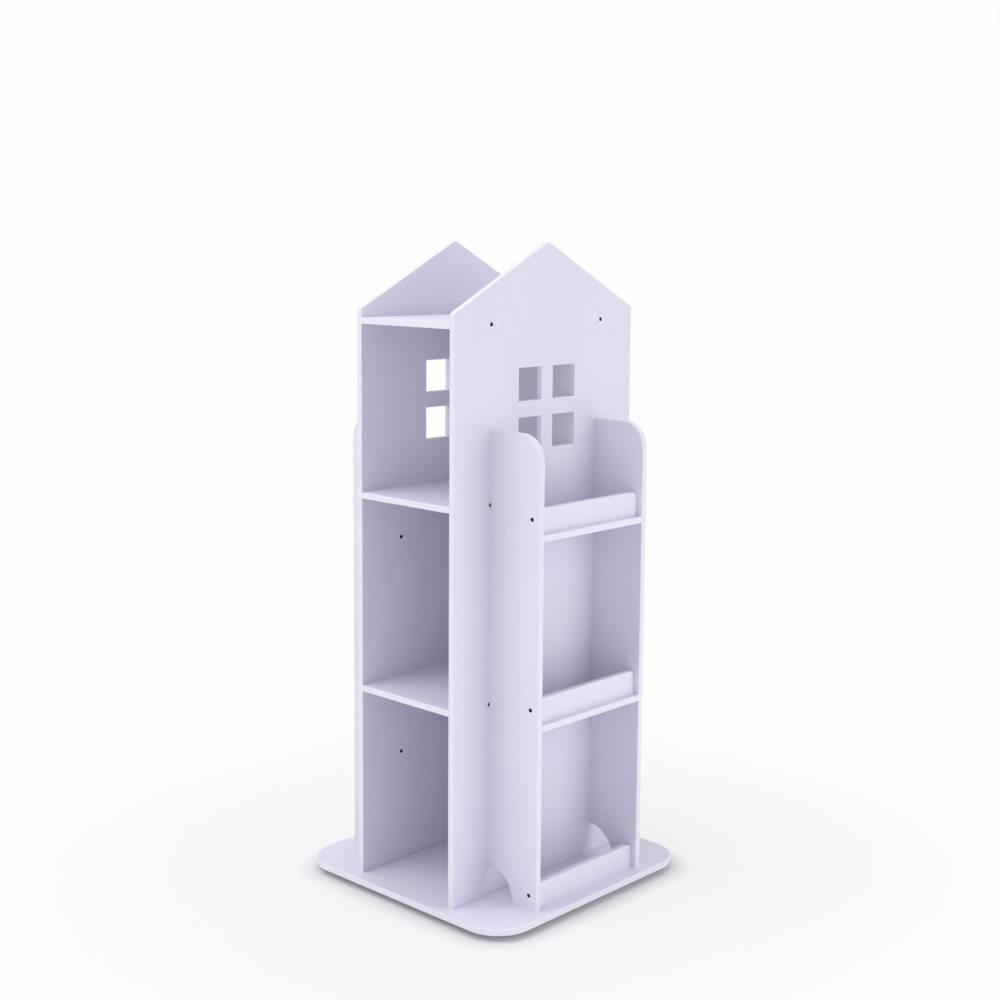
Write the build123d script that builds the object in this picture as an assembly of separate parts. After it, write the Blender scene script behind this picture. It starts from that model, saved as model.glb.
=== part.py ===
from build123d import *
import os
from math import cos, radians, sin

# Rotating house-shaped bookshelf for a child's room, in millimetres.
# The origin is the centre of the footprint, on the floor, with +Z up. The windowed front panel
# faces -Y, and the deep book bays open towards -X.

# Boards: painted board of one thickness, with softly rounded edges.
board = 10.0
edge_round = 1.0
slot_gap = 0.1          # clearance round a tenon in its slot
tenon_set_back = 0.2    # a tenon ends this far inside the outer face

# Turntable: two aluminium rings with balls between them, on rubber pads.
pad_height = 2.0
pad_diameter = 16.0
pad_count = 6
turntable_height = 8.0          # from the pads to the base plate
ball_track_radius = 129.0
ball_diameter = 4.0
ball_count = 30
ball_clearance = 0.05           # between a ball and each race or pocket
ring_spacing = 2.0              # radial gap between the two rings
outer_ring_width = 20.0
inner_ring_width = 20.0
outer_ring_top_gap = 1.5        # outer ring to base plate, so that the plate turns freely
inner_ring_foot_gap = 1.5       # inner ring above the level of the pads' tops
cage_thickness = 1.0
cage_height = 5.6

# Base plate: a square with large round corners.
base_side = 440.0
base_corner_radius = 60.0

# House: two gable panels across the depth, shelves between them.
house_width = 400.0
house_depth = 209.0             # over the outer faces of the two gable panels
eave_height = 886.0             # above the base plate
roof_rise = 103.0               # from the eaves to the meeting point of the two roof lines
ridge_radius = 10.0
eave_radius = 4.0
bottom_bay_height = 293.0
middle_bay_height = 293.0
top_bay_height = 257.0
deep_bay_depth = 265.0          # from the open left side to the upright divider

# Window: two by two panes.
pane_width = 51.0
pane_height = 50.0
window_bar = 25.0
window_height = 738.5           # centre of the cross, above the base plate

# Through tenons of the house shelves, and their screws, from the centre line.
shelf_tenon_width = 24.0
shelf_tenon_place = 97.5
shelf_screw_place = 123.6

# Racks for books shown face on, one on each gable panel.
rack_width = 246.0
rack_depth = 98.0
rack_height = 713.0
rack_corner_radius = 40.0
rack_bay_height = 273.5
foot_cut_radius = 50.0
rack_tenon_width = 30.0
rail_height = 37.5
rail_inset = 10.0               # behind the front edge of the rack
rail_corner_radius = 10.0
rail_screw_place = 22.5         # above the rail's lower edge
rack_screw_heights = (178.0, 526.0)

# Screws: countersunk, dark, with a cross recess.
screw_length = 30.0
screw_head_diameter = 6.5
screw_head_height = 2.4
screw_shank_diameter = 3.5
screw_tip_length = 4.0
screw_set_back = 0.3            # the head lies this far below the surface
screw_clearance = 0.05
bore_lead = 1.0                 # a screw's hole is cut this far out of the surface
cross_length = 3.8
cross_width = 0.9
cross_depth = 1.3
ring_screw_length = 14.0
ring_screw_count = 6
base_screw_place = 150.0        # outer screws under each gable panel, from the centre line
divider_screw_place = 50.0      # screws and dowels of the divider, from the centre line

# Dowels that line the divider boards up through the shelves.
dowel_diameter = 6.0
dowel_grip = 10.0               # length held in a board's edge
dowel_blind = 6.0               # depth of the blind hole under the top shelf
dowel_clearance = 0.05

# Places that follow from the sizes above.
base_bottom = pad_height + turntable_height
base_top = base_bottom + board
inner_depth = house_depth - 2 * board
rack_front = house_depth / 2 + rack_depth
bottom_shelf_level = bottom_bay_height
middle_shelf_level = bottom_shelf_level + board + middle_bay_height
top_shelf_level = middle_shelf_level + board + top_bay_height
shelf_levels = (bottom_shelf_level, middle_shelf_level, top_shelf_level)
rack_levels = (rack_bay_height, 2 * rack_bay_height + board)
divider_x = deep_bay_depth - house_width / 2 + board / 2
divider_places = (-divider_screw_place, divider_screw_place)


def height(level):
    """World height of a level that is counted from the top of the base plate."""
    return base_top + level


def across_plane(y):
    """Sketch plane across the house: width sideways, height up, facing -Y."""
    return Plane(origin=(0, y, base_top), x_dir=(1, 0, 0), z_dir=(0, -1, 0))


def along_plane(x):
    """Sketch plane along the depth: depth towards -Y, height up, facing -X."""
    return Plane(origin=(x, 0, base_top), x_dir=(0, -1, 0), z_dir=(-1, 0, 0))


def facing(x, y, z, direction):
    """Place of a screw whose head looks in the given direction."""
    return Plane(origin=(x, y, z), z_dir=direction).location


def turn_half(piece):
    """The same piece on the other side of the turning axis."""
    return Rot(0, 0, 180) * piece


def group(pieces):
    """Several separate solids of one kind in one node."""
    return Compound(children=list(pieces))


def screw(length):
    """A countersunk wood screw along -Z, with its head at the origin's surface."""
    head = screw_head_diameter / 2
    shank = screw_shank_diameter / 2
    profile = Polyline(
        (0, -screw_set_back),
        (head, -screw_set_back),
        (shank, -screw_set_back - screw_head_height),
        (shank, -length + screw_tip_length),
        (0, -length),
        close=True,
    )
    body = revolve(Plane.XZ * make_face(profile), Axis.Z)
    bar = Box(cross_length, cross_width, 2 * cross_depth)
    cross = bar + Rot(0, 0, 90) * bar
    return body - Pos(0, 0, -screw_set_back) * cross


def screw_bore(length):
    """The hole that a screw of this length fills, open a little above the surface."""
    head = screw_head_diameter / 2 + screw_clearance
    shank = screw_shank_diameter / 2 + screw_clearance
    profile = Polyline(
        (0, bore_lead),
        (head, bore_lead),
        (head, -screw_set_back),
        (shank, -screw_set_back - screw_head_height),
        (shank, -length - screw_clearance),
        (0, -length - screw_clearance),
        close=True,
    )
    return revolve(Plane.XZ * make_face(profile), Axis.Z)


def bore_all(piece, places, length):
    """Cut the screws' holes into a piece."""
    hole = screw_bore(length)
    for place in places:
        piece = piece - place * hole
    return piece


def shelf_screw_places():
    """Screws through both gable panels into the ends of the three shelves."""
    places = []
    for level in shelf_levels:
        for x in (-shelf_screw_place, shelf_screw_place):
            for side in (-1, 1):
                middle = height(level) + board / 2
                places.append(facing(x, side * house_depth / 2, middle, (0, side, 0)))
    return places


def rack_screw_places(side):
    """Screws from inside the house, through a gable panel, into the rack's upright sides."""
    places = []
    for level in rack_screw_heights:
        for x in (-1, 1):
            middle = x * (rack_width - board) / 2
            places.append(facing(middle, side * inner_depth / 2, height(level), (0, -side, 0)))
    return places


def rail_levels():
    """Lower edge of each rail: one on the base plate and one on each rack shelf."""
    return [0.0] + [level + board for level in rack_levels]


def rail_screw_places():
    """Screws through the front rack's sides into the rails' ends."""
    places = []
    middle_y = -(rack_front - rail_inset - board / 2)
    for level in rail_levels():
        for x in (-1, 1):
            places.append(facing(x * rack_width / 2, middle_y, height(level) + rail_screw_place, (x, 0, 0)))
    return places


def base_screw_places():
    """Screws from under the base plate into everything that stands on it."""
    spots = []
    panel_y = (house_depth - board) / 2
    foot_y = (house_depth / 2 + foot_cut_radius + rack_front) / 2
    for side in (-1, 1):
        for x in (-base_screw_place, 0, base_screw_place):
            spots.append((x, side * panel_y))
        for x in (-1, 1):
            spots.append((x * (rack_width - board) / 2, side * foot_y))
    for y in divider_places:
        spots.append((divider_x, y))
    return [facing(x, y, base_bottom, (0, 0, -1)) for x, y in spots]


def ring_screw_places():
    """Screws from below, through the inner ring, into the base plate."""
    radius = ball_track_radius - (ring_spacing + inner_ring_width) / 2
    foot = pad_height + inner_ring_foot_gap
    places = []
    for index in range(ring_screw_count):
        angle = radians(360 * (index + 0.5) / ring_screw_count)
        places.append(facing(radius * cos(angle), radius * sin(angle), foot, (0, 0, -1)))
    return places


def rubber_pads():
    """Rubber pads stuck under the outer ring: the bookshelf stands on them."""
    radius = ball_track_radius + (ring_spacing + outer_ring_width) / 2
    disc = extrude(Circle(pad_diameter / 2), pad_height)
    pads = [place * disc for place in PolarLocations(radius, pad_count)]
    return group(pads)


def ball_groove():
    """The round groove that both rings share with the balls."""
    return Pos(0, 0, ball_level()) * Torus(ball_track_radius, ball_diameter / 2 + ball_clearance)


def ball_level():
    """Height of the balls' centres, midway between the foot of one ring and the top of the other."""
    inner_foot = pad_height + inner_ring_foot_gap
    outer_top = base_bottom - outer_ring_top_gap
    return (inner_foot + outer_top) / 2


def ring(inner_radius, outer_radius, low, high):
    """A flat ring between two heights."""
    flat = Circle(outer_radius) - Circle(inner_radius)
    return Pos(0, 0, low) * extrude(flat, high - low)


def turntable_outer_ring():
    """The ring that stays still on the floor."""
    inner_radius = ball_track_radius + ring_spacing / 2
    blank = ring(inner_radius, inner_radius + outer_ring_width, pad_height, base_bottom - outer_ring_top_gap)
    return blank - ball_groove()


def turntable_inner_ring():
    """The ring that carries the base plate and turns with it."""
    outer_radius = ball_track_radius - ring_spacing / 2
    foot = pad_height + inner_ring_foot_gap
    blank = ring(outer_radius - inner_ring_width, outer_radius, foot, base_bottom)
    blank = blank - ball_groove()
    return bore_all(blank, ring_screw_places(), ring_screw_length)


def ball_places():
    """Centres of the balls, evenly round the track."""
    return [Pos(0, 0, ball_level()) * place for place in PolarLocations(ball_track_radius, ball_count)]


def bearing_balls():
    """Steel balls between the two rings."""
    ball = Sphere(ball_diameter / 2)
    return group(place * ball for place in ball_places())


def ball_cage():
    """Thin plastic ring that keeps the balls apart."""
    low = ball_level() - cage_height / 2
    inner = ball_track_radius - cage_thickness / 2
    cage = ring(inner, inner + cage_thickness, low, low + cage_height)
    pocket = Rot(0, 90, 0) * Cylinder(ball_diameter / 2 + 2 * ball_clearance, 3 * cage_thickness)
    return cage - [place * pocket for place in ball_places()]


def base_plate():
    """The round-cornered plate that everything else stands on."""
    outline = RectangleRounded(base_side, base_side, base_corner_radius)
    plate = Pos(0, 0, base_bottom) * extrude(outline, board)
    plate = fillet(plate.faces().filter_by(Axis.Z).edges(), edge_round)
    plate = bore_all(plate, base_screw_places(), screw_length)
    return bore_all(plate, ring_screw_places(), ring_screw_length)


def window_panes():
    """The four openings of the window, as flat sketches."""
    step_x = (pane_width + window_bar) / 2
    step_y = (pane_height + window_bar) / 2
    pane = Rectangle(pane_width, pane_height)
    return [Pos(x * step_x, window_height + y * step_y) * pane for x in (-1, 1) for y in (-1, 1)]


def gable_outline():
    """Outline of a gable panel: upright sides, two roof lines and a rounded ridge."""
    half = house_width / 2
    corners = [(-half, 0), (half, 0), (half, eave_height)]
    corners += [(0, eave_height + roof_rise), (-half, eave_height)]
    outline = make_face(Polyline(*corners, close=True))
    outline = fillet(outline.vertices().sort_by(Axis.Y)[-1:], ridge_radius)
    eaves = [corner for corner in outline.vertices() if abs(corner.Y - eave_height) < eave_radius / 10]
    return fillet(eaves, eave_radius)


def tenon_slots():
    """Slots through the front gable panel for the shelves' tenons."""
    width = shelf_tenon_width + 2 * slot_gap
    tall = board + 2 * slot_gap
    slot = Box(width, 3 * board, tall)
    slots = []
    for level in shelf_levels:
        for x in (-shelf_tenon_place, shelf_tenon_place):
            slots.append(Pos(x, -house_depth / 2, height(level) + board / 2) * slot)
    return slots


def front_house_panel():
    """The front gable panel, with its window, slots and screw holes."""
    flat = across_plane(-inner_depth / 2) * (gable_outline() - window_panes())
    panel = extrude(flat, board)
    panel = fillet(panel.faces().filter_by(Axis.Y).edges(), edge_round)
    panel = panel - tenon_slots()
    panel = bore_all(panel, shelf_screw_places(), screw_length)
    panel = bore_all(panel, rack_screw_places(-1), screw_length)
    return bore_all(panel, base_screw_places(), screw_length)


def house_shelf(level):
    """A shelf the full width of the house, with two tenons through each gable panel."""
    middle = height(level) + board / 2
    shelf = Pos(0, 0, middle) * Box(house_width, inner_depth, board)
    shelf = fillet(shelf.edges().filter_by(Axis.Y), edge_round)
    for x in (-shelf_tenon_place, shelf_tenon_place):
        length = house_depth - 2 * tenon_set_back
        shelf = shelf + Pos(x, 0, middle) * Box(shelf_tenon_width, length, board)
    shelf = bore_all(shelf, shelf_screw_places(), screw_length)
    return shelf - dowel_bores()


def divider(foot_level, bay_height):
    """An upright board that closes the back of the deep bays."""
    middle = height(foot_level) + bay_height / 2
    upright = Pos(divider_x, 0, middle) * Box(board, inner_depth, bay_height)
    upright = bore_all(upright, base_screw_places(), screw_length)
    return upright - dowel_bores()


def dowel_spans():
    """Foot and top of each dowel: two go through a shelf, the third ends under the top shelf."""
    spans = []
    for level in (bottom_shelf_level, middle_shelf_level):
        spans.append((height(level) - dowel_grip, height(level) + board + dowel_grip))
    spans.append((height(top_shelf_level) - dowel_grip, height(top_shelf_level) + dowel_blind))
    return spans


def dowel_rods(growth):
    """The dowels, or with some growth the holes that they sit in."""
    rods = []
    for low, high in dowel_spans():
        tall = high - low + 2 * growth
        rod = Cylinder(dowel_diameter / 2 + growth, tall)
        for y in divider_places:
            rods.append(Pos(divider_x, y, (low + high) / 2) * rod)
    return rods


def dowel_bores():
    """Holes for the dowels."""
    return dowel_rods(dowel_clearance)


def rack_side_outline():
    """A rack side seen from the side: rounded top corner in front, quarter round cut at the foot."""
    back = house_depth / 2
    tall = Pos((back + rack_front) / 2, rack_height / 2) * Rectangle(rack_depth, rack_height)
    top_front = tall.vertices().sort_by(Axis.X)[-2:].sort_by(Axis.Y)[-1:]
    tall = fillet(top_front, rack_corner_radius)
    return tall - Pos(back, 0) * Circle(foot_cut_radius)


def rack_side(x):
    """Left or right upright of the front rack."""
    outer = x * rack_width / 2
    start = max(outer, outer - x * board)
    upright = extrude(along_plane(start) * rack_side_outline(), board)
    open_edges = [
        edge
        for edge in upright.faces().filter_by(Axis.X).edges()
        if edge.center().Y < -house_depth / 2 - edge_round and edge.center().Z > base_top + edge_round
    ]
    upright = fillet(open_edges, edge_round)
    slot = Box(3 * board, rack_tenon_width + 2 * slot_gap, board + 2 * slot_gap)
    for level in rack_levels:
        upright = upright - Pos(outer, rack_middle(), height(level) + board / 2) * slot
    upright = bore_all(upright, rail_screw_places(), screw_length)
    upright = bore_all(upright, rack_screw_places(-1), screw_length)
    return bore_all(upright, base_screw_places(), screw_length)


def rack_middle():
    """Depth of the middle of the front rack's shelves."""
    return -(house_depth / 2 + rack_front) / 2


def rack_shelf(level):
    """A shelf of the front rack, with a tenon through each side."""
    inner_width = rack_width - 2 * board
    middle = height(level) + board / 2
    shelf = Pos(0, rack_middle(), middle) * Box(inner_width, rack_depth, board)
    front_edges = [edge for edge in shelf.edges().filter_by(Axis.X) if edge.center().Y < rack_middle()]
    shelf = fillet(front_edges, edge_round)
    length = rack_width - 2 * tenon_set_back
    return shelf + Pos(0, rack_middle(), middle) * Box(length, rack_tenon_width, board)


def rail(level):
    """A rail that keeps books on the front rack, rounded at its two upper corners."""
    flat = Pos(0, level + rail_height / 2) * Rectangle(rack_width - 2 * board, rail_height)
    flat = fillet(flat.vertices().sort_by(Axis.Y)[-2:], rail_corner_radius)
    bar = extrude(across_plane(-(rack_front - rail_inset - board)) * flat, board)
    upper_edges = [
        edge
        for edge in bar.faces().filter_by(Axis.Y).edges()
        if edge.center().Z > height(level) + rail_height - rail_corner_radius
    ]
    bar = fillet(upper_edges, edge_round)
    return bore_all(bar, rail_screw_places(), screw_length)


def front_rack():
    """The pieces of the front rack by name."""
    low_rail, middle_rail, high_rail = rail_levels()
    return {
        "left_side": rack_side(-1),
        "right_side": rack_side(1),
        "lower_shelf": rack_shelf(rack_levels[0]),
        "upper_shelf": rack_shelf(rack_levels[1]),
        "bottom_rail": rail(low_rail),
        "middle_rail": rail(middle_rail),
        "top_rail": rail(high_rail),
    }


def screws(places, length):
    """One screw in each place."""
    one = screw(length)
    return group(place * one for place in places)


def all_nodes():
    """Every node of the bookshelf by name."""
    nodes = {
        "rubber_pads": rubber_pads(),
        "turntable_outer_ring": turntable_outer_ring(),
        "turntable_inner_ring": turntable_inner_ring(),
        "bearing_balls": bearing_balls(),
        "ball_cage": ball_cage(),
        "turntable_screws": screws(ring_screw_places(), ring_screw_length),
        "base_plate": base_plate(),
        "base_screws": screws(base_screw_places(), screw_length),
        "lower_shelf": house_shelf(bottom_shelf_level),
        "middle_shelf": house_shelf(middle_shelf_level),
        "top_shelf": house_shelf(top_shelf_level),
        "lower_divider": divider(0, bottom_bay_height),
        "middle_divider": divider(bottom_shelf_level + board, middle_bay_height),
        "upper_divider": divider(middle_shelf_level + board, top_bay_height),
        "divider_dowels": group(dowel_rods(0)),
        "shelf_screws": screws(shelf_screw_places(), screw_length),
    }
    panel = front_house_panel()
    nodes["front_house_panel"] = panel
    nodes["rear_house_panel"] = turn_half(panel)
    for name, piece in front_rack().items():
        nodes["front_rack_" + name] = piece
        nodes["rear_rack_" + name] = turn_half(piece)
    rail_screws = screws(rail_screw_places(), screw_length)
    nodes["front_rail_screws"] = rail_screws
    nodes["rear_rail_screws"] = turn_half(rail_screws)
    rack_screws = screws(rack_screw_places(-1), screw_length)
    nodes["front_rack_screws"] = rack_screws
    nodes["rear_rack_screws"] = turn_half(rack_screws)
    return nodes


os.makedirs("parts", exist_ok=True)
for node_name, shape in all_nodes().items():
    export_step(shape, f"parts/{node_name}.step")
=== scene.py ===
import math

import bpy
from mathutils import Matrix, Vector

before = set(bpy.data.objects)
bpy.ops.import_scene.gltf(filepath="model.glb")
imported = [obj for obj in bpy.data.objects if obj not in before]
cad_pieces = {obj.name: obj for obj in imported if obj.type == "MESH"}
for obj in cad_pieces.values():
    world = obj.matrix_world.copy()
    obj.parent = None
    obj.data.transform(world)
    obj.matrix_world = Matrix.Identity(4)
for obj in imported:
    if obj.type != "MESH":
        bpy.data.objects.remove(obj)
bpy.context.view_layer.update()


# Rubber pads: six soft black discs under the outer ring of the turntable, on which it all stands.
# They are punched from moulded rubber sheet with a dull, finely pitted skin, and stuck on flat.


def new_finish(name):
    """An empty finish: a material with its shader, whose nodes are added by the functions below."""
    finish = bpy.data.materials.new(name)
    finish.use_nodes = True
    return finish


def fill(finish, socket, value):
    """Sets a socket to a number or colour, or joins it to another node's output."""
    if isinstance(value, bpy.types.Node):
        value = value.outputs[0]
    if isinstance(value, bpy.types.NodeSocket):
        finish.node_tree.links.new(value, socket)
    else:
        socket.default_value = value


def add(finish, kind, *values, **named):
    """A node of that kind. Values fill its sockets in order, and names set its settings or its sockets."""
    made = finish.node_tree.nodes.new("ShaderNode" + kind)
    for name, value in named.items():
        if hasattr(made, name):
            setattr(made, name, value)
        else:
            fill(finish, made.inputs[name.replace("_", " ")], value)
    for socket, value in zip(made.inputs, values):
        fill(finish, socket, value)
    return made


def shade(finish, **named):
    """Sets or joins sockets of the finish's own shader."""
    shader = finish.node_tree.nodes["Principled BSDF"]
    for name, value in named.items():
        fill(finish, shader.inputs[name.replace("_", " ")], value)


def spread(finish, value, low, high, to_low=0.0, to_high=1.0):
    """Stretches the part of a value between low and high over another range, and cuts it off there."""
    return add(finish, "MapRange", value, low, high, to_low, to_high)


def between(finish, share, first, second):
    """A colour between two others, each of them three numbers or another node's output."""
    mix = add(finish, "Mix", share, data_type="RGBA")
    colour_sockets = mix.inputs[6:8]
    for socket, colour in zip(colour_sockets, (first, second)):
        fill(finish, socket, (*colour, 1.0) if isinstance(colour, tuple) else colour)
    return mix.outputs[2]


def dress(names, finish):
    """Gives every named CAD piece that finish."""
    for name in names:
        for place in cad_pieces[name].material_slots:
            place.material = finish


def moulded_rubber():
    """Black rubber: greyer where floor dust clings, with a fine pitted skin."""
    finish = new_finish("moulded_rubber")
    place = add(finish, "TexCoord").outputs["Object"]
    dust = add(finish, "TexNoise", Vector=place, Scale=160.0, Detail=4.0)
    pits = add(finish, "TexVoronoi", Vector=place, Scale=1400.0)
    skin = add(finish, "Bump", Height=pits.outputs["Distance"], Strength=0.35, Distance=0.0002)
    colour = between(finish, spread(finish, dust, 0.35, 0.75), (0.010, 0.010, 0.011), (0.055, 0.052, 0.050))
    shade(finish, Base_Color=colour, Roughness=spread(finish, dust, 0.3, 0.7, 0.62, 0.88), Normal=skin)
    return finish


dress(["rubber_pads"], moulded_rubber())


# Turntable rings: two flat aluminium rings, one still on the pads and one that carries the base plate.
# They are turned on a lathe, which leaves fine rings of tool marks round the axis.


def turned_aluminium():
    """Bare aluminium with tool marks that run round the upright axis."""
    finish = new_finish("turned_aluminium")
    place = add(finish, "TexCoord").outputs["Object"]
    flat = add(finish, "VectorMath", place, (1.0, 1.0, 0.0), operation="MULTIPLY")
    reach = add(finish, "VectorMath", flat, operation="LENGTH").outputs["Value"]
    marks = add(finish, "TexNoise", noise_dimensions="1D", W=reach, Scale=5200.0, Detail=3.0)
    stain = add(finish, "TexNoise", Vector=place, Scale=45.0, Detail=5.0)
    colour = between(finish, spread(finish, stain, 0.3, 0.75), (0.60, 0.61, 0.62), (0.47, 0.47, 0.47))
    skin = add(finish, "Bump", Height=marks, Strength=0.25, Distance=0.00008)
    worn = spread(finish, add(finish, "Math", marks, stain, operation="ADD"), 0.6, 1.4, 0.22, 0.46)
    shade(finish, Base_Color=colour, Metallic=1.0, Roughness=worn, Anisotropic=0.6, Normal=skin)
    return finish


dress(["turntable_outer_ring", "turntable_inner_ring"], turned_aluminium())


# Balls and cage: thirty polished steel balls that roll in the rings' grooves, thinly greased.
# A thin moulded nylon band with a round window for each ball keeps them apart.


def greased_steel():
    """Polished ball steel under a thin, uneven film of grease."""
    finish = new_finish("greased_steel")
    place = add(finish, "TexCoord").outputs["Object"]
    film = add(finish, "TexNoise", Vector=place, Scale=420.0, Detail=3.0)
    colour = between(finish, spread(finish, film, 0.45, 0.7), (0.58, 0.58, 0.59), (0.45, 0.41, 0.33))
    skin = add(finish, "Bump", Height=film, Strength=0.1, Distance=0.00005)
    rough = spread(finish, film, 0.35, 0.7, 0.06, 0.24)
    shade(finish, Base_Color=colour, Metallic=1.0, Roughness=rough, Normal=skin)
    return finish


def moulded_nylon():
    """Milky natural nylon with the faint grain of its mould."""
    finish = new_finish("moulded_nylon")
    place = add(finish, "TexCoord").outputs["Object"]
    grain = add(finish, "TexNoise", Vector=place, Scale=1800.0, Detail=2.0)
    cloud = add(finish, "TexNoise", Vector=place, Scale=60.0, Detail=3.0)
    colour = between(finish, spread(finish, cloud, 0.35, 0.7), (0.78, 0.76, 0.69), (0.70, 0.67, 0.58))
    skin = add(finish, "Bump", Height=grain, Strength=0.2, Distance=0.00005)
    rough = spread(finish, cloud, 0.3, 0.7, 0.34, 0.5)
    shade(finish, Base_Color=colour, Roughness=rough, Subsurface_Weight=0.15, Normal=skin)
    shade(finish, Subsurface_Radius=(0.002, 0.002, 0.0015))
    return finish


dress(["bearing_balls"], greased_steel())
dress(["ball_cage"], moulded_nylon())


# Base plate: a square board with large round corners, routed from 10 mm fibreboard.
# Like every board of the house it is sprayed in a satin paint of pale lavender. The cut edges
# drink more paint, so that they are a little paler and duller than the faces.


def own_noise(finish, place, seed, scale, detail):
    """Noise that runs through space and differs from board to board by its seed."""
    return add(finish, "TexNoise", noise_dimensions="4D", Vector=place, W=seed, Scale=scale, Detail=detail)


def painted_board(name, flat_axis, seed, tenon_axis=(0.0, 0.0, 0.0)):
    """Sprayed satin paint on one board, whose two large faces look along flat_axis, with a painted
    highlight along its arrises.

    Tenon ends look along tenon_axis. They are filled and sanded flush, and take the paint as a face does.
    """
    finish = new_finish("paint_" + name)
    coordinates = add(finish, "TexCoord")
    place = coordinates.outputs["Object"]

    outward = coordinates.outputs["Normal"]
    flat = add(finish, "VectorMath", outward, flat_axis, operation="DOT_PRODUCT").outputs["Value"]
    filled = add(finish, "VectorMath", outward, tenon_axis, operation="DOT_PRODUCT").outputs["Value"]
    flat = add(finish, "Math", flat, operation="ABSOLUTE")
    filled = add(finish, "Math", filled, operation="ABSOLUTE")
    face = add(finish, "Math", flat, filled, operation="MAXIMUM")
    cut_edge = spread(finish, face, 0.25, 0.85, 1.0, 0.0)

    cloud = own_noise(finish, place, seed, 5.0, 3.0)
    hands = own_noise(finish, place, seed + 40.0, 17.0, 6.0)
    peel = own_noise(finish, place, seed, 430.0, 2.0)
    fibre = own_noise(finish, place, seed, 1500.0, 3.0)

    # Painted highlight: the rounded arrises are lightened to near white to stand in for the light they
    # catch. Patches of the hands noise vary its strength like a little handling wear.
    soft = add(finish, "Bevel", samples=6, Radius=0.0015)
    turned = add(finish, "NewGeometry").outputs["Normal"]
    bend = add(finish, "VectorMath", soft, turned, operation="DOT_PRODUCT").outputs["Value"]
    arris = spread(finish, bend, 0.999, 0.93)
    highlight_wear_patches = spread(finish, hands, 0.35, 0.65, 0.55, 1.0)
    arris_highlight_and_wear = add(finish, "Math", arris, highlight_wear_patches, operation="MULTIPLY")

    tone = spread(finish, cloud, 0.3, 0.7)
    face_paint = between(finish, tone, (0.718, 0.688, 0.812), (0.738, 0.708, 0.829))
    edge_paint = between(finish, tone, (0.740, 0.720, 0.818), (0.754, 0.734, 0.828))
    paint = between(finish, cut_edge, face_paint, edge_paint)
    # Painted highlight on the arrises, partly handling wear: the paint turns near white there.
    paint_with_arris_highlight = between(finish, arris_highlight_and_wear, paint, (0.92, 0.91, 0.95))

    sheen = spread(finish, hands, 0.3, 0.72, 0.46, 0.36)
    rough = add(finish, "Math", cut_edge, 0.12, sheen, operation="MULTIPLY_ADD")
    fur = add(finish, "Math", cut_edge, fibre, operation="MULTIPLY")
    relief = add(finish, "Math", fur, 0.8, peel, operation="MULTIPLY_ADD")
    skin = add(finish, "Bump", Height=relief, Strength=0.12, Distance=0.0002)
    shade(finish, Base_Color=paint_with_arris_highlight, Roughness=rough, Normal=skin)
    return finish


along_x = (1.0, 0.0, 0.0)
along_y = (0.0, 1.0, 0.0)
along_z = (0.0, 0.0, 1.0)
dress(["base_plate"], painted_board("base_plate", along_z, 1.0))


# Gable panels: two tall fibreboards with the roof's outline, four window panes and the slots for the
# shelves' tenons, routed in one go, sprayed on both sides and screwed on from under the base plate.

for seed, name in enumerate(["front_house_panel", "rear_house_panel"], start=2):
    dress([name], painted_board(name, along_y, float(seed)))


# House shelves: three fibreboards between the gable panels. Their tenons come through the slots and end
# almost flush with the outer faces, painted over like the rest, with a screw beside each tenon.

for seed, name in enumerate(["lower_shelf", "middle_shelf", "top_shelf"], start=4):
    dress([name], painted_board(name, along_z, float(seed), along_y))


# Dividers: three upright fibreboards that close the backs of the deep bays, one above the other.
# Short bare beech dowels hold them in line through the shelves.


def bare_beech():
    """Unpainted beech rod: pale pinkish wood with long grain and short dark flecks."""
    finish = new_finish("bare_beech")
    place = add(finish, "TexCoord").outputs["Object"]
    drawn = add(finish, "VectorMath", place, (1.0, 1.0, 0.05), operation="MULTIPLY")
    grain = add(finish, "TexNoise", Vector=drawn, Scale=1900.0, Detail=4.0, Distortion=0.4)
    short = add(finish, "VectorMath", place, (1.0, 1.0, 0.3), operation="MULTIPLY")
    fleck = add(finish, "TexVoronoi", Vector=short, Scale=1300.0)
    tone = spread(finish, grain, 0.3, 0.72)
    dark = spread(finish, fleck.outputs["Distance"], 0.12, 0.22, 0.35, 0.0)
    share = add(finish, "Math", tone, dark, operation="ADD", use_clamp=True)
    colour = between(finish, share, (0.60, 0.38, 0.20), (0.42, 0.23, 0.11))
    skin = add(finish, "Bump", Height=grain, Strength=0.3, Distance=0.0001)
    shade(finish, Base_Color=colour, Roughness=spread(finish, grain, 0.3, 0.7, 0.5, 0.68), Normal=skin)
    return finish


for seed, name in enumerate(["lower_divider", "middle_divider", "upper_divider"], start=7):
    dress([name], painted_board(name, along_x, float(seed)))
dress(["divider_dowels"], bare_beech())


# Book racks: on each gable panel two fibreboard uprights with a rounded top corner carry two shelves and
# three rails. The shelves' tenons show in the uprights' outer faces, and screws hold the rails' ends.

rack_pieces = {
    "left_side": (along_x, along_x),
    "right_side": (along_x, along_x),
    "lower_shelf": (along_z, along_x),
    "upper_shelf": (along_z, along_x),
    "bottom_rail": (along_y, along_y),
    "middle_rail": (along_y, along_y),
    "top_rail": (along_y, along_y),
}
seed = 10.0
for end in ("front", "rear"):
    for piece, (flat_axis, tenon_axis) in rack_pieces.items():
        name = f"{end}_rack_{piece}"
        dress([name], painted_board(name, flat_axis, seed, tenon_axis))
        seed += 1.0


# Screws: countersunk wood screws with a cross recess, sunk just below the paint.
# The steel has a black phosphate coat, thin and a little shiny on the rims that the driver touches.


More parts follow.
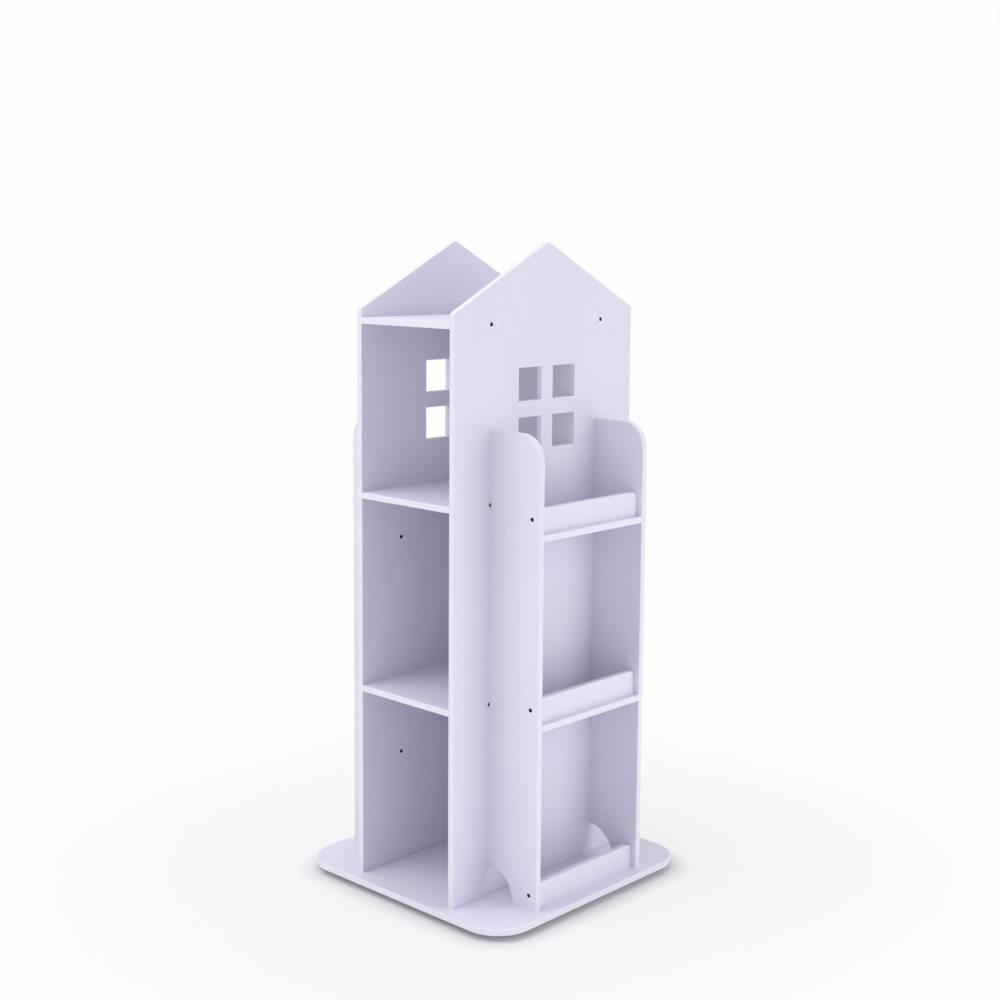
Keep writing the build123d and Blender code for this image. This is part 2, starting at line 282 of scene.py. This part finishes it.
def black_screw_steel():
    """Phosphated steel: nearly black, mottled, with worn rims."""
    finish = new_finish("black_screw_steel")
    place = add(finish, "TexCoord").outputs["Object"]
    mottle = add(finish, "TexNoise", Vector=place, Scale=900.0, Detail=4.0)
    soft = add(finish, "Bevel", samples=4, Radius=0.0002)
    turned = add(finish, "NewGeometry").outputs["Normal"]
    bend = add(finish, "VectorMath", soft, turned, operation="DOT_PRODUCT").outputs["Value"]
    rim = add(finish, "Math", spread(finish, bend, 0.995, 0.85), mottle, operation="MULTIPLY")
    colour = between(finish, spread(finish, rim, 0.25, 0.65), (0.012, 0.011, 0.013), (0.16, 0.155, 0.16))
    skin = add(finish, "Bump", Height=mottle, Strength=0.25, Distance=0.00005)
    rough = spread(finish, mottle, 0.3, 0.7, 0.36, 0.6)
    shade(finish, Base_Color=colour, Metallic=0.7, Roughness=rough, Normal=skin)
    return finish


dress([name for name in cad_pieces if name.endswith("screws")], black_screw_steel())


# Floor: a wide sheet of white studio paper. Under the base plate and close round it the paper takes its
# light and shadow from the bookshelf, and further out it turns into the even white of the backdrop.

floor_reach = 9.0
plate_half_side = 0.22
plate_corner = 0.06
shadow_edge = plate_corner + 0.035
even_white = plate_corner + 0.64
backdrop_white = (0.985, 0.985, 0.995, 1.0)

floor_mesh = bpy.data.meshes.new("studio_floor")
floor_corners = [(x * floor_reach, y * floor_reach, 0.0) for x, y in ((-1, -1), (1, -1), (1, 1), (-1, 1))]
floor_mesh.from_pydata(floor_corners, [], [(0, 1, 2, 3)])
floor = bpy.data.objects.new("studio_floor", floor_mesh)
bpy.context.scene.collection.objects.link(floor)


def white_paper():
    """Matt white that takes the shadow round the square base plate and is evenly bright further out."""
    finish = new_finish("white_paper")
    place = add(finish, "TexCoord").outputs["Object"]
    folded = add(finish, "VectorMath", place, operation="ABSOLUTE")
    corner_centre = (plate_half_side - plate_corner, plate_half_side - plate_corner, 0.0)
    past = add(finish, "VectorMath", folded, corner_centre, operation="SUBTRACT")
    past = add(finish, "VectorMath", past, (0.0, 0.0, 0.0), operation="MAXIMUM")
    off = add(finish, "VectorMath", past, operation="LENGTH").outputs["Value"]
    close = spread(finish, off, plate_corner, shadow_edge, 0.0, 0.7)
    wide = spread(finish, off, shadow_edge, even_white, 0.0, 0.3)
    white = add(finish, "Math", close, wide, operation="ADD")
    path = add(finish, "LightPath")
    by_camera, by_gloss = path.outputs["Is Camera Ray"], path.outputs["Is Glossy Ray"]
    seen = add(finish, "Math", by_camera, by_gloss, operation="MAXIMUM")
    share = add(finish, "Math", white, seen, operation="MULTIPLY")
    paper_colour = between(finish, seen, (0.95, 0.95, 0.95), (0.74, 0.74, 0.745))
    shade(finish, Base_Color=paper_colour, Roughness=0.9)
    glow = add(finish, "Emission", Color=backdrop_white, Strength=1.0)
    both = add(finish, "MixShader", share, finish.node_tree.nodes["Principled BSDF"], glow)
    fill(finish, finish.node_tree.nodes["Material Output"].inputs["Surface"], both)
    return finish


floor_mesh.materials.append(white_paper())


# Studio light: a white room with two large soft boxes overhead, one in front of the windowed panel, one
# behind on the left and two small ones near the floor, so that shadows stay short and soft.

room_light = 0.645

world = bpy.data.worlds.new("studio")
bpy.context.scene.world = world
world.use_nodes = True
path = add(world, "LightPath")
by_camera, through_glass = path.outputs["Is Camera Ray"], path.outputs["Is Transmission Ray"]
seen = add(world, "Math", by_camera, through_glass, operation="MAXIMUM")
room = world.node_tree.nodes["Background"]
fill(world, room.inputs["Color"], (1.0, 1.0, 1.0, 1.0))
fill(world, room.inputs["Strength"], room_light)
backdrop = add(world, "Background", Color=backdrop_white, Strength=1.0)
choice = add(world, "MixShader", seen, room, backdrop)
fill(world, world.node_tree.nodes["World Output"].inputs["Surface"], choice)


def soft_box(name, place, target, size, power):
    """A square soft light that looks at a point."""
    lamp = bpy.data.lights.new(name, "AREA")
    lamp.size = size
    lamp.energy = power
    box = bpy.data.objects.new(name, lamp)
    bpy.context.scene.collection.objects.link(box)
    box.visible_camera = False
    box.location = place
    box.rotation_euler = (Vector(target) - Vector(place)).to_track_quat("-Z", "Y").to_euler()


middle = (0.0, 0.0, 0.5)
base_height = (0.0, 0.0, 0.05)
soft_box("top_box_left", (-1.2, 0.6, 3.0), middle, 2.5, 39.0)
soft_box("top_box_right", (1.6, 0.2, 2.8), middle, 2.5, 12.0)
soft_box("side_box", (-2.6, 1.6, 1.6), middle, 2.0, 12.0)
soft_box("front_box", (0.8, -3.0, 1.5), middle, 2.0, 17.0)
soft_box("low_box_front", (0.5, -1.3, 0.4), base_height, 0.7, 1.7)
soft_box("low_box_left", (-0.9, -0.9, 0.4), base_height, 0.7, 0.8)


# Camera: stands where the photo was taken from, about 2.5 m away at the height of the ridge, and looks
# slightly down. Its frame is shifted a little, as the photo is a crop.

camera_place = (-1.7894, -1.7006, 1.0118)
yaw, pitch, roll = (math.radians(angle) for angle in (47.082, 6.931, 0.472))

ahead = Vector((math.sin(yaw) * math.cos(pitch), math.cos(yaw) * math.cos(pitch), -math.sin(pitch)))
across = Vector((math.cos(yaw), -math.sin(yaw), 0.0))
above = across.cross(ahead)
right = math.cos(roll) * across + math.sin(roll) * above
up = math.cos(roll) * above - math.sin(roll) * across
turn = Matrix((right, up, -ahead)).transposed().to_4x4()

lens = bpy.data.cameras.new("camera")
lens.lens = 56.91
lens.shift_x = -0.01445
lens.shift_y = -0.06876
camera = bpy.data.objects.new("camera", lens)
bpy.context.scene.collection.objects.link(camera)
camera.matrix_world = Matrix.Translation(camera_place) @ turn
bpy.context.scene.camera = camera
bpy.context.scene.view_settings.view_transform = "Standard"
